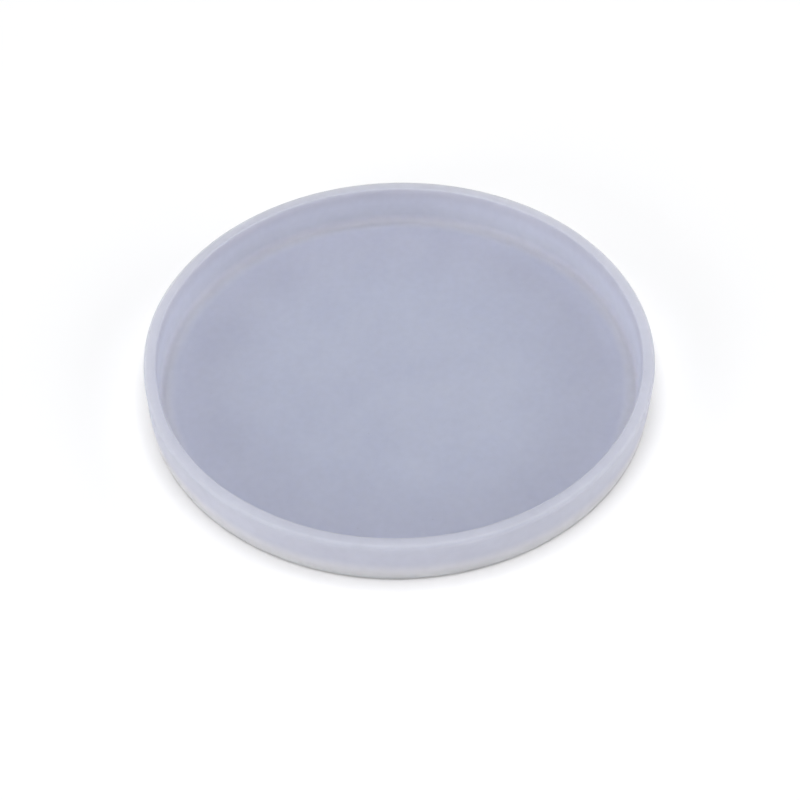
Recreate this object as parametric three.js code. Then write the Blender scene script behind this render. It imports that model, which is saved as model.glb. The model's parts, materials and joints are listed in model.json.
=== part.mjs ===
// A round, open mould for casting resin coasters, moulded in one piece from soft silicone rubber:
// a thin flat casting floor inside a low side wall that ends in a flat rim.
// Millimetres, +Z up. The origin is the centre of the underside.

import * as THREE from "three";

// Driving dimensions.
const RIM_DIAMETER = 90; // across the rim, outside to outside
const HEIGHT = 9; // underside to rim
const WALL_THICKNESS = 2.2; // side wall, measured across the rim
const FLOOR_THICKNESS = 1.5;
const OUTER_DRAFT = 0.5; // lean of the outside, from rim down to underside
const INNER_DRAFT = 0.3; // lean of the inside, which lets the cast coaster slip out

// Roundings of the moulding's edges and corners.
const UNDERSIDE_ROUND = 0.8; // edge between side wall and underside
const OUTER_RIM_ROUND = 0.6; // outer edge of the rim, rounded so that it doesn't cut the hand
const INNER_RIM_ROUND = 0.3; // inner edge of the rim, kept crisp for a clean edge on the casting
const FLOOR_FILLET = 1.2; // corner between side wall and casting floor

// Facets of the round surfaces.
const FACETS_ROUND = 96;
const FACETS_PER_ROUNDING = 4;

const SILICONE = { color: 0xb2b7cc, roughness: 0.4, metalness: 0 };

// The corners of half the mould's section, from the axis out along the underside,
// up the outside, over the rim, down the inside and back to the axis along the floor.
function sectionCorners() {
  const rimRadius = RIM_DIAMETER / 2;
  const cavityRadius = rimRadius - WALL_THICKNESS;
  return [
    { radius: 0, height: 0, rounding: 0 },
    { radius: rimRadius - OUTER_DRAFT, height: 0, rounding: UNDERSIDE_ROUND },
    { radius: rimRadius, height: HEIGHT, rounding: OUTER_RIM_ROUND },
    { radius: cavityRadius, height: HEIGHT, rounding: INNER_RIM_ROUND },
    { radius: cavityRadius - INNER_DRAFT, height: FLOOR_THICKNESS, rounding: FLOOR_FILLET },
    { radius: 0, height: FLOOR_THICKNESS, rounding: 0 },
  ];
}

// The points of a circular arc that rounds a corner and is tangent to the lines on both sides of it.
function roundedCorner(before, corner, after, rounding) {
  const back = before.clone().sub(corner).normalize();
  const ahead = after.clone().sub(corner).normalize();
  const halfAngle = Math.acos(back.dot(ahead)) / 2;
  const centre = back.clone().add(ahead).setLength(rounding / Math.sin(halfAngle)).add(corner);
  const start = back.clone().multiplyScalar(rounding / Math.tan(halfAngle)).add(corner);
  const sweep = (Math.PI - 2 * halfAngle) * Math.sign(ahead.cross(back));
  return Array.from({ length: FACETS_PER_ROUNDING + 1 }, (_, step) =>
    start.clone().rotateAround(centre, (sweep * step) / FACETS_PER_ROUNDING),
  );
}

function sectionOutline() {
  const corners = sectionCorners();
  const points = corners.map(({ radius, height }) => new THREE.Vector2(radius, height));
  return points.flatMap((point, i) =>
    corners[i].rounding > 0
      ? roundedCorner(points[i - 1], point, points[i + 1], corners[i].rounding)
      : [point],
  );
}

// The one piece: its section turned about the upright axis.
function mouldBody() {
  const geometry = new THREE.LatheGeometry(sectionOutline(), FACETS_ROUND);
  geometry.rotateX(Math.PI / 2); // the lathe turns about +Y, and the mould stands along +Z
  const body = new THREE.Mesh(geometry, new THREE.MeshStandardMaterial(SILICONE));
  body.name = "mould_body";
  return body;
}

const coasterMould = new THREE.Group();
coasterMould.name = "coaster_mould";
coasterMould.add(mouldBody());

export default coasterMould;
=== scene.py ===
# A round silicone mould for casting resin coasters, standing on a pale table under soft studio light.
# Metres, +Z up, with the origin at the centre of the mould's underside.

import json
import math

import bpy
from mathutils import Euler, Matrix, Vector


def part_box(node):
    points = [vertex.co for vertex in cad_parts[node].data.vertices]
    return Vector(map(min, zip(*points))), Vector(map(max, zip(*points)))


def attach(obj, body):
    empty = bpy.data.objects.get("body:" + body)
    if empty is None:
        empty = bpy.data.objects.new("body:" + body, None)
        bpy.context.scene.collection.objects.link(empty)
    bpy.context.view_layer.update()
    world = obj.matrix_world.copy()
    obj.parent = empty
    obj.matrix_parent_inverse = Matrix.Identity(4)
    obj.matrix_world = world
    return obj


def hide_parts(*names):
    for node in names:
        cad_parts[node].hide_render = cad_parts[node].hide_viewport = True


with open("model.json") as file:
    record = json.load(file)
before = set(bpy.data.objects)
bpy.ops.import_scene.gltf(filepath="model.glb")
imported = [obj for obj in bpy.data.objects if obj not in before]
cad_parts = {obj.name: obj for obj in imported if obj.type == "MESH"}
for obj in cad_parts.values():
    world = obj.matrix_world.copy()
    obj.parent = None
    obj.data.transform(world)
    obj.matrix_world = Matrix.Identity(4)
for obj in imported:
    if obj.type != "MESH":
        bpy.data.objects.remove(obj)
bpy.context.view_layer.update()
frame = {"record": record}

MM = 0.001


# ----------------------------------------------------------------------------------------------
# Mould body. The real piece is one moulding of milky silicone rubber: a thin casting floor, a low
# side wall that leans out so that the casting slips free, and a flat rim. It is shot into a
# turned steel tool, polished on the casting side and finely blasted outside.

# Sizes. The section's corners follow the frame's box and mounts.
body_low, body_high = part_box("mould_body")
mounts = {mount["name"]: mount for mount in frame["record"]["mounts"]}

RIM_RADIUS = body_high.x
HEIGHT = body_high.z - body_low.z
FLOOR = mounts["casting_floor"]["pos_m"][2]
WALL = 2.2 * MM
OUTER_DRAFT = 0.5 * MM
INNER_DRAFT = 0.3 * MM
UNDERSIDE_ROUND = 0.8 * MM
OUTER_RIM_ROUND = 0.6 * MM
INNER_RIM_ROUND = 0.3 * MM
FLOOR_FILLET = 1.2 * MM
MOUTH_RADIUS = RIM_RADIUS - WALL
FLOOR_RADIUS = MOUTH_RADIUS - INNER_DRAFT

# The soft wall leans in a little on one side, as rubber does after it has been handled.
SAG_DEPTH = 0.32 * MM
SAG_MIDDLE = math.radians(188)
SAG_SPREAD = math.radians(26)

# How finely the mesh is cut.
SPACING = 1.0 * MM
ROUNDING_STEPS = 12
SEGMENTS = 288
TOUCHING = 0.001 * MM


def add(tree, kind, inputs=None, **settings):
    """Adds a node. Each input is a number, a vector or the output socket that feeds it."""
    node = tree.nodes.new(kind)
    for name, value in settings.items():
        setattr(node, name, value)
    for name, value in (inputs or {}).items():
        if isinstance(value, bpy.types.NodeSocket):
            tree.links.new(value, node.inputs[name])
        else:
            node.inputs[name].default_value = value
    return node


def calculate(tree, operation, *terms):
    """Adds a Math node and gives its result."""
    return add(tree, "ShaderNodeMath", dict(enumerate(terms)), operation=operation).outputs[0]


def choose(tree, index, data_type, items):
    """Gives the item whose place in the list is the index."""
    node = add(tree, "GeometryNodeIndexSwitch", data_type=data_type)
    while len(node.index_switch_items) < len(items):
        node.index_switch_items.new()
    tree.links.new(index, node.inputs[0])
    for place, item in enumerate(items):
        if isinstance(item, bpy.types.NodeSocket):
            tree.links.new(item, node.inputs[place + 1])
        else:
            node.inputs[place + 1].default_value = item
    return node.outputs[0]


def section_curve(tree, size):
    """Half the mould's section in XZ, from the axis out along the underside and back along the floor."""
    point = add(tree, "GeometryNodeInputIndex").outputs[0]
    underside_radius = calculate(tree, "SUBTRACT", size["Rim Radius"], size["Outer Draft"])
    mouth_radius = calculate(tree, "SUBTRACT", size["Rim Radius"], size["Wall"])
    floor_radius = calculate(tree, "SUBTRACT", mouth_radius, size["Inner Draft"])
    corners = [
        (0.0, 0.0, 0.0),
        (underside_radius, 0.0, size["Underside Rounding"]),
        (size["Rim Radius"], size["Height"], size["Outer Rim Rounding"]),
        (mouth_radius, size["Height"], size["Inner Rim Rounding"]),
        (floor_radius, size["Floor"], size["Floor Fillet"]),
        (0.0, size["Floor"], 0.0),
    ]
    radius = choose(tree, point, "FLOAT", [corner[0] for corner in corners])
    height = choose(tree, point, "FLOAT", [corner[1] for corner in corners])
    rounding = choose(tree, point, "FLOAT", [corner[2] for corner in corners])
    place = add(tree, "ShaderNodeCombineXYZ", {"X": radius, "Z": height})
    line = add(tree, "GeometryNodeMeshLine", {"Count": len(corners)})
    sharp = add(tree, "GeometryNodeSetPosition", {"Geometry": line.outputs[0], "Position": place.outputs[0]})
    # The roundings are kept with the points, because the points are renumbered as they are rounded.
    curve = add(tree, "GeometryNodeMeshToCurve", {"Mesh": sharp.outputs[0]})
    rounded = add(
        tree,
        "GeometryNodeFilletCurve",
        {
            "Curve": curve.outputs[0],
            "Count": size["Rounding Steps"],
            "Radius": rounding,
            "Limit Radius": True,
        },
        mode="POLY",
    )
    # The straight runs are cut up evenly.
    here = add(tree, "GeometryNodeInputPosition").outputs[0]
    next_point = calculate(tree, "ADD", add(tree, "GeometryNodeInputIndex").outputs[0], 1.0)
    after = add(
        tree, "GeometryNodeFieldAtIndex", {"Index": next_point}, data_type="FLOAT_VECTOR", domain="POINT"
    )
    tree.links.new(here, after.inputs["Value"])
    run = add(tree, "ShaderNodeVectorMath", {0: here, 1: after.outputs[0]}, operation="DISTANCE")
    cuts = calculate(tree, "FLOOR", calculate(tree, "DIVIDE", run.outputs["Value"], size["Spacing"]))
    return add(tree, "GeometryNodeSubdivideCurve", {"Curve": rounded.outputs[0], "Cuts": cuts}).outputs[0]


def fade(tree, value, low, high, low_result=0.0, high_result=1.0):
    """A smooth change from one result to the other as the value goes from low to high."""
    inputs = {"Value": value, "From Min": low, "From Max": high, "To Min": low_result, "To Max": high_result}
    return add(tree, "ShaderNodeMapRange", inputs, interpolation_type="SMOOTHSTEP").outputs["Result"]


def sag(tree, size, angle, height):
    """How far the wall leans in: most at the rim and in the middle of the sag, nothing at the floor."""
    away = calculate(tree, "ABSOLUTE", calculate(tree, "SUBTRACT", angle, size["Sag Middle"]))
    round_the_wall = fade(tree, away, 0.0, size["Sag Spread"], size["Sag Depth"], 0.0)
    up_the_wall = fade(tree, height, size["Floor"], size["Height"])
    return calculate(tree, "MULTIPLY", round_the_wall, up_the_wall)


def turned(tree, curve, size):
    """Turns a section about the Z axis: a grid of points, each moved to its place round the axis."""
    points = add(tree, "GeometryNodeCurveToPoints", {"Curve": curve}, mode="EVALUATED").outputs[0]
    count = add(
        tree, "GeometryNodeAttributeDomainSize", {"Geometry": points}, component="POINTCLOUD"
    ).outputs["Point Count"]
    grid = add(
        tree,
        "GeometryNodeMeshGrid",
        {
            "Size X": 1.0,
            "Size Y": 1.0,
            "Vertices X": count,
            "Vertices Y": calculate(tree, "ADD", size["Segments"], 1.0),
        },
    ).outputs["Mesh"]
    on_grid = add(tree, "ShaderNodeSeparateXYZ", {0: add(tree, "GeometryNodeInputPosition").outputs[0]})
    along = calculate(tree, "ADD", on_grid.outputs["X"], 0.5)
    last = calculate(tree, "SUBTRACT", count, 1.0)
    index = calculate(tree, "ROUND", calculate(tree, "MULTIPLY", along, last))
    angle = calculate(tree, "MULTIPLY", calculate(tree, "ADD", on_grid.outputs["Y"], 0.5), math.tau)
    section_point = add(
        tree,
        "GeometryNodeSampleIndex",
        {"Geometry": points, "Index": index},
        data_type="FLOAT_VECTOR",
        domain="POINT",
        clamp=True,
    )
    tree.links.new(add(tree, "GeometryNodeInputPosition").outputs[0], section_point.inputs["Value"])
    section = add(tree, "ShaderNodeSeparateXYZ", {0: section_point.outputs[0]})
    radius = calculate(tree, "SUBTRACT", section.outputs["X"], sag(tree, size, angle, section.outputs["Z"]))
    place = add(
        tree,
        "ShaderNodeCombineXYZ",
        {
            "X": calculate(tree, "MULTIPLY", radius, calculate(tree, "COSINE", angle)),
            "Y": calculate(tree, "MULTIPLY", radius, calculate(tree, "SINE", angle)),
            "Z": section.outputs["Z"],
        },
    )
    shell = add(tree, "GeometryNodeSetPosition", {"Geometry": grid, "Position": place.outputs[0]})
    # The start and end of the turn meet, and so do the points at the axis.
    closed = add(tree, "GeometryNodeMergeByDistance", {"Geometry": shell.outputs[0], "Distance": TOUCHING})
    return closed.outputs[0]


def moulding_tree(material):
    """The Geometry Nodes that make the moulding, and the values of their inputs."""
    tree = bpy.data.node_groups.new("turned_moulding", "GeometryNodeTree")
    tree.interface.new_socket("Mesh", in_out="OUTPUT", socket_type="NodeSocketGeometry")
    values = {
        "Rim Radius": RIM_RADIUS,
        "Height": HEIGHT,
        "Wall": WALL,
        "Floor": FLOOR,
        "Outer Draft": OUTER_DRAFT,
        "Inner Draft": INNER_DRAFT,
        "Underside Rounding": UNDERSIDE_ROUND,
        "Outer Rim Rounding": OUTER_RIM_ROUND,
        "Inner Rim Rounding": INNER_RIM_ROUND,
        "Floor Fillet": FLOOR_FILLET,
        "Sag Depth": SAG_DEPTH,
        "Sag Middle": SAG_MIDDLE,
        "Sag Spread": SAG_SPREAD,
        "Spacing": SPACING,
        "Rounding Steps": ROUNDING_STEPS,
        "Segments": SEGMENTS,
    }
    for name, value in values.items():
        kind = "NodeSocketInt" if isinstance(value, int) else "NodeSocketFloat"
        tree.interface.new_socket(name, in_out="INPUT", socket_type=kind)
    size = add(tree, "NodeGroupInput").outputs
    shell = turned(tree, section_curve(tree, size), size)
    facing_out = add(tree, "GeometryNodeFlipFaces", {"Mesh": shell}).outputs[0]
    smooth = add(tree, "GeometryNodeSetShadeSmooth", {"Geometry": facing_out}).outputs[0]
    real = add(tree, "GeometryNodeRealizeInstances", {"Geometry": smooth}).outputs[0]
    painted = add(tree, "GeometryNodeSetMaterial", {"Geometry": real, "Material": material}).outputs[0]
    add(tree, "NodeGroupOutput", {"Mesh": painted})
    return tree, values


# Its rubber, with light and shade painted into its colour. Silicone lets light in and scatters it: the thin
# floor is blue-grey and the wall paler; painted light makes the thick root of the wall whitest and warmest
# and brightens the floor's corner and the wall's foot, and painted shade darkens the floor's edge, the rim
# and the rim's outer edge.
FLOOR_MIDDLE_RUBBER = (0.508, 0.540, 0.785, 1.0)
# Painted shade on the floor towards its edge, where the wall shades it.
FLOOR_EDGE_PAINTED_SHADE = (0.473, 0.490, 0.660, 1.0)
# Painted highlight along the fillet at the floor's corner, and the paler glow of the thicker rubber there.
CORNER_PAINTED_LIGHT = (0.668, 0.668, 0.825, 1.0)
INSIDE_RUBBER = (0.520, 0.546, 0.642, 1.0)
OUTSIDE_RUBBER = (0.478, 0.490, 0.573, 1.0)
# Painted shade on the rim and the top of the wall, which takes down the light that falls on them from above.
RIM_PAINTED_SHADE = (0.442, 0.456, 0.536, 1.0)
# Painted shade on the rim's rounded outer edge, which takes down its highlight.
RIM_EDGE_PAINTED_SHADE = (0.415, 0.430, 0.508, 1.0)
# Painted light on the lower outside of the wall: the glow of light from the table through the thick root.
ROOT_PAINTED_LIGHT = (0.622, 0.612, 0.648, 1.0)
# Painted light at the foot of the wall, against the shade where it meets the table.
FOOT_PAINTED_LIGHT = (0.765, 0.752, 0.768, 1.0)

# Where each colour, painted light and shade among them, fades in: across the radius, or up the height.
FLOOR_EDGE_SHADE_FADE = (20.0 * MM, FLOOR_RADIUS - 3.5 * MM)
CORNER_LIGHT_FADE = (FLOOR_RADIUS - 3.1 * MM, FLOOR_RADIUS - 0.6 * MM)
INSIDE_FADE = (FLOOR + 0.05 * MM, FLOOR + 1.5 * MM)
OUTSIDE_FADE = (MOUTH_RADIUS, MOUTH_RADIUS + 0.7 * MM)
RIM_SHADE_FADE = (HEIGHT - 3.6 * MM, HEIGHT - 0.5 * MM)
RIM_EDGE_SHADE_FADE_OUTWARDS = (RIM_RADIUS - 0.9 * MM, RIM_RADIUS - 0.1 * MM)
RIM_EDGE_SHADE_FADE_UP = (HEIGHT - 0.9 * MM, HEIGHT - 0.3 * MM)
ROOT_LIGHT_FADE = (1.6 * MM, 4.8 * MM)
FOOT_LIGHT_FADE = (0.5 * MM, 2.2 * MM)
BLASTED_FADE_OUTWARDS = (MOUTH_RADIUS - 0.1 * MM, MOUTH_RADIUS + 0.3 * MM)
BLASTED_FADE_UP = (0.3 * MM, 0.8 * MM)

# How it takes light: what scatters inside it, and how rough its two finishes are.
REFRACTION = 1.41
SCATTER_DISTANCE = 10.0 * MM
SCATTER_TINT = (1.0, 0.95, 0.9)
POLISHED = 0.44
BLASTED = 0.55

# Its small unevennesses. The specks' radii are shares of their spacing.
CLOUD_SIZE = 12.0 * MM
CLOUD_SHADES = (0.975, 1.025)
MILK_SIZE = 1.5 * MM
MILK_SHADES = (0.985, 1.015)
SPECK_SPACING = 5.0 * MM
SPECK_RADII = (0.015, 0.035)
SPECK_SHADE = 0.88
WIPED_SIZE = 9.0 * MM
WIPED_CHANGE = 0.05
RIPPLE_SIZE = 14.0 * MM
RIPPLE_HEIGHT = 0.15 * MM
RIPPLE_STRENGTH = 0.5
GRAIN_SIZE = 0.25 * MM
GRAIN_HEIGHT = 0.012 * MM
GRAIN_STRENGTH = 0.6


def mixed(tree, share, first, second, blend="MIX"):
    """Two colours mixed."""
    node = add(tree, "ShaderNodeMix", data_type="RGBA", blend_type=blend)
    for socket, value in ((node.inputs[0], share), (node.inputs[6], first), (node.inputs[7], second)):
        if isinstance(value, bpy.types.NodeSocket):
            tree.links.new(value, socket)
        else:
            socket.default_value = value
    return node.outputs[2]


def noise(tree, place, size, detail):
    """Soft noise from 0 to 1 with lumps of about the size given."""
    node = add(tree, "ShaderNodeTexNoise", {"Vector": place, "Scale": 1 / size, "Detail": detail})
    return node.outputs["Fac"]


def painted_light_and_rubber_colour(tree, radius, height):
    """The rubber's colour with its painted light and shade, from the middle of the floor outwards, up the
    wall and down its outside.
    """
    outside = fade(tree, radius, *OUTSIDE_FADE)
    rim_edge_shade = calculate(
        tree,
        "MULTIPLY",
        fade(tree, radius, *RIM_EDGE_SHADE_FADE_OUTWARDS),
        fade(tree, height, *RIM_EDGE_SHADE_FADE_UP),
    )
    # Painted light low on the outside of the wall and, stronger, at its foot.
    root = fade(tree, height, *ROOT_LIGHT_FADE, 1.0, 0.0)
    foot_light = fade(tree, height, *FOOT_LIGHT_FADE, 1.0, 0.0)
    # The floor's edge, the rim and the rim's edge get painted shade; the floor's corner and the wall's root
    # and foot get painted light.
    zones = (
        (fade(tree, radius, *FLOOR_EDGE_SHADE_FADE), FLOOR_EDGE_PAINTED_SHADE),
        (fade(tree, radius, *CORNER_LIGHT_FADE), CORNER_PAINTED_LIGHT),
        (fade(tree, height, *INSIDE_FADE), INSIDE_RUBBER),
        (outside, OUTSIDE_RUBBER),
        (fade(tree, height, *RIM_SHADE_FADE), RIM_PAINTED_SHADE),
        (rim_edge_shade, RIM_EDGE_PAINTED_SHADE),
        (calculate(tree, "MULTIPLY", outside, root), ROOT_PAINTED_LIGHT),
        (calculate(tree, "MULTIPLY", outside, foot_light), FOOT_PAINTED_LIGHT),
    )
    colour = FLOOR_MIDDLE_RUBBER
    for share, zone_colour in zones:
        colour = mixed(tree, share, colour, zone_colour)
    return colour


def silicone_rubber():
    """Milky silicone, blasted outside and polished inside."""
    material = bpy.data.materials.new("silicone_rubber")
    material.use_nodes = True
    tree = material.node_tree
    rubber = tree.nodes["Principled BSDF"]
    place = add(tree, "ShaderNodeTexCoord").outputs["Object"]
    height = add(tree, "ShaderNodeSeparateXYZ", {0: place}).outputs["Z"]
    flat = add(tree, "ShaderNodeVectorMath", {0: place, 1: (1.0, 1.0, 0.0)}, operation="MULTIPLY")
    radius = add(tree, "ShaderNodeVectorMath", {0: flat.outputs[0]}, operation="LENGTH").outputs["Value"]
    # Blasted on the rim, the outside and the underside, polished inside.
    blasted = calculate(
        tree,
        "MAXIMUM",
        fade(tree, radius, *BLASTED_FADE_OUTWARDS),
        fade(tree, height, *BLASTED_FADE_UP, 1.0, 0.0),
    )

    # Clouds where the pigment is uneven, and a few faint specks of dust that cling to the rubber.
    clouds = fade(tree, noise(tree, place, CLOUD_SIZE, detail=3.0), 0.25, 0.75, *CLOUD_SHADES)
    milk = fade(tree, noise(tree, place, MILK_SIZE, detail=2.0), 0.25, 0.75, *MILK_SHADES)
    speck_cells = add(tree, "ShaderNodeTexVoronoi", {"Vector": place, "Scale": 1 / SPECK_SPACING})
    specks = fade(tree, speck_cells.outputs["Distance"], *SPECK_RADII, SPECK_SHADE, 1.0)
    shade = calculate(tree, "MULTIPLY", calculate(tree, "MULTIPLY", clouds, milk), specks)
    shades = add(tree, "ShaderNodeCombineColor", {"Red": shade, "Green": shade, "Blue": shade}).outputs[0]
    colour = mixed(tree, 1.0, painted_light_and_rubber_colour(tree, radius, height), shades, "MULTIPLY")
    tree.links.new(colour, rubber.inputs["Base Color"])

    # Satin outside, smoother inside, with wiped patches on both.
    wiped = fade(tree, noise(tree, place, WIPED_SIZE, detail=4.0), 0.3, 0.7, -WIPED_CHANGE, WIPED_CHANGE)
    finish = fade(tree, blasted, 0.0, 1.0, POLISHED, BLASTED)
    tree.links.new(calculate(tree, "ADD", finish, wiped), rubber.inputs["Roughness"])

    # The blasted grain, and the slow ripple that soft rubber keeps on every face.
    grain = calculate(tree, "MULTIPLY", noise(tree, place, GRAIN_SIZE, detail=2.0), blasted)
    ripple = noise(tree, place, RIPPLE_SIZE, detail=1.0)
    rippled = add(
        tree,
        "ShaderNodeBump",
        {"Height": ripple, "Distance": RIPPLE_HEIGHT, "Strength": RIPPLE_STRENGTH},
    )
    grained = add(
        tree,
        "ShaderNodeBump",
        {
            "Height": grain,
            "Distance": GRAIN_HEIGHT,
            "Strength": GRAIN_STRENGTH,
            "Normal": rippled.outputs[0],
        },
    )
    tree.links.new(grained.outputs[0], rubber.inputs["Normal"])

    rubber.inputs["IOR"].default_value = REFRACTION
    rubber.inputs["Subsurface Weight"].default_value = 1.0
    rubber.inputs["Subsurface Radius"].default_value = SCATTER_TINT
    rubber.inputs["Subsurface Scale"].default_value = SCATTER_DISTANCE
    return material


maker = bpy.data.objects.new("moulding_maker", bpy.data.meshes.new("moulding_maker"))
bpy.context.scene.collection.objects.link(maker)
tree, values = moulding_tree(silicone_rubber())
modifier = maker.modifiers.new("turned_moulding", "NODES")
modifier.node_group = tree
for item in tree.interface.items_tree:
    if item.in_out == "INPUT":
        modifier[item.identifier] = values[item.name]
maker.modifiers.new("flat_faces_shade_flat", "WEIGHTED_NORMAL")
made = bpy.data.meshes.new_from_object(maker.evaluated_get(bpy.context.evaluated_depsgraph_get()))
bpy.data.objects.remove(maker)
made.name = "mould"
made.materials.pop(index=0)  # the empty slot that the grid was born with
mould = bpy.data.objects.new("mould", made)
bpy.context.scene.collection.objects.link(mould)
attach(mould, "root")
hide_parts("mould_body")


# ----------------------------------------------------------------------------------------------
# Table. A wide board painted matt white. It lies a hair under the mould, so that no two faces
# lie in one plane. It isn't part of the object.

TABLE_HALF_WIDTH = 1.0
TABLE_TOP = -0.05 * MM
TABLE_PAINT = (0.96, 0.96, 0.965, 1.0)
TABLE_PAINT_WORN = (0.94, 0.94, 0.946, 1.0)
PATCH_SIZE = 60.0 * MM
ROLLER_MARK_SIZE = 0.8 * MM
ROLLER_MARK_HEIGHT = 0.01 * MM


def matt_paint():
    """White paint laid on with a roller, slightly patchy."""
    material = bpy.data.materials.new("matt_paint")
    material.use_nodes = True
    tree = material.node_tree
    paint = tree.nodes["Principled BSDF"]
    place = add(tree, "ShaderNodeTexCoord").outputs["Object"]
    patches = noise(tree, place, PATCH_SIZE, detail=3.0)
    tree.links.new(mixed(tree, patches, TABLE_PAINT, TABLE_PAINT_WORN), paint.inputs["Base Color"])
    tree.links.new(fade(tree, patches, 0.3, 0.7, 0.75, 0.85), paint.inputs["Roughness"])
    marks = noise(tree, place, ROLLER_MARK_SIZE, detail=2.0)
    roller_marks = add(tree, "ShaderNodeBump", {"Height": marks, "Distance": ROLLER_MARK_HEIGHT})
    tree.links.new(roller_marks.outputs[0], paint.inputs["Normal"])
    return material


table_corners = [
    (x * TABLE_HALF_WIDTH, y * TABLE_HALF_WIDTH, TABLE_TOP) for x, y in ((-1, -1), (1, -1), (1, 1), (-1, 1))
]
table_mesh = bpy.data.meshes.new("table")
table_mesh.from_pydata(table_corners, [], [(0, 1, 2, 3)])
table_mesh.materials.append(matt_paint())
table = bpy.data.objects.new("table", table_mesh)
bpy.context.scene.collection.objects.link(table)


# ----------------------------------------------------------------------------------------------
# Light. A large softbox hangs straight above the table, and weaker ones stand round its front and
# sides. A faint even light fills the shadows, in front of a pale backdrop.

FILL_COLOUR = (0.95, 0.97, 1.0, 1.0)
FILL_STRENGTH = 0.09
BACKDROP_COLOUR = (0.97, 0.975, 0.98, 1.0)


def studio_room():
    """A faint fill from all round, in front of a pale backdrop that adds no light of its own."""
    room = bpy.data.worlds.new("studio_room")
    room.use_nodes = True
    tree = room.node_tree
    fill = tree.nodes["Background"]
    fill.inputs["Color"].default_value = FILL_COLOUR
    fill.inputs["Strength"].default_value = FILL_STRENGTH
    backdrop = add(tree, "ShaderNodeBackground", {"Color": BACKDROP_COLOUR})
    seen = add(tree, "ShaderNodeLightPath").outputs["Is Camera Ray"]
    shown = add(tree, "ShaderNodeMixShader", {0: seen, 1: fill.outputs[0], 2: backdrop.outputs[0]})
    tree.links.new(shown.outputs[0], tree.nodes["World Output"].inputs["Surface"])
    return room


def softbox(name, place, size, power):
    """A square softbox in metres and watts, turned towards the mould."""
    light = bpy.data.lights.new(name, "AREA")
    light.shape = "SQUARE"
    light.size = size
    light.energy = power
    box = bpy.data.objects.new(name, light)
    box.location = place
    box.rotation_mode = "QUATERNION"
    box.rotation_quaternion = (-Vector(place)).to_track_quat("-Z", "Y")
    box.visible_camera = False
    bpy.context.scene.collection.objects.link(box)


bpy.context.scene.world = studio_room()
softbox("softbox_above", place=(0.0, 0.0, 2.4), size=1.8, power=54.0)
softbox("softbox_right", place=(2.4, 0.0, 0.9), size=1.5, power=15.3)
softbox("softbox_left", place=(-2.4, 0.0, 0.9), size=1.5, power=9.0)
softbox("softbox_low_front_left", place=(-1.7, -1.7, 0.45), size=1.2, power=18.5)
softbox("softbox_low_front_right", place=(1.7, -1.7, 0.45), size=1.2, power=7.2)


# ----------------------------------------------------------------------------------------------
# Camera. It looks down at about 46 degrees from in front of the mould, about three and a half
# mould widths away. It is aimed a little below the middle, and is rolled slightly.

LENS_LENGTH = 80.0
SENSOR_WIDTH = 36.0
ELEVATION = math.radians(45.8)
DISTANCE = 315.7 * MM
AIM_DOWN = math.radians(1.14)
AIM_RIGHT = math.radians(0.05)
ROLL = math.radians(1.32)

middle = Vector((0.0, 0.0, HEIGHT / 2))
eye = middle + DISTANCE * Vector((0.0, -math.cos(ELEVATION), math.sin(ELEVATION)))
aim_off = Euler((-AIM_DOWN, -AIM_RIGHT, -ROLL)).to_quaternion()
lens = bpy.data.cameras.new("camera")
lens.lens = LENS_LENGTH
lens.sensor_width = SENSOR_WIDTH
lens.clip_start = 10.0 * MM
camera = bpy.data.objects.new("camera", lens)
camera.location = eye
camera.rotation_mode = "QUATERNION"
camera.rotation_quaternion = (middle - eye).to_track_quat("-Z", "Y") @ aim_off
bpy.context.scene.collection.objects.link(camera)
bpy.context.scene.camera = camera
bpy.context.scene.view_settings.view_transform = "Standard"
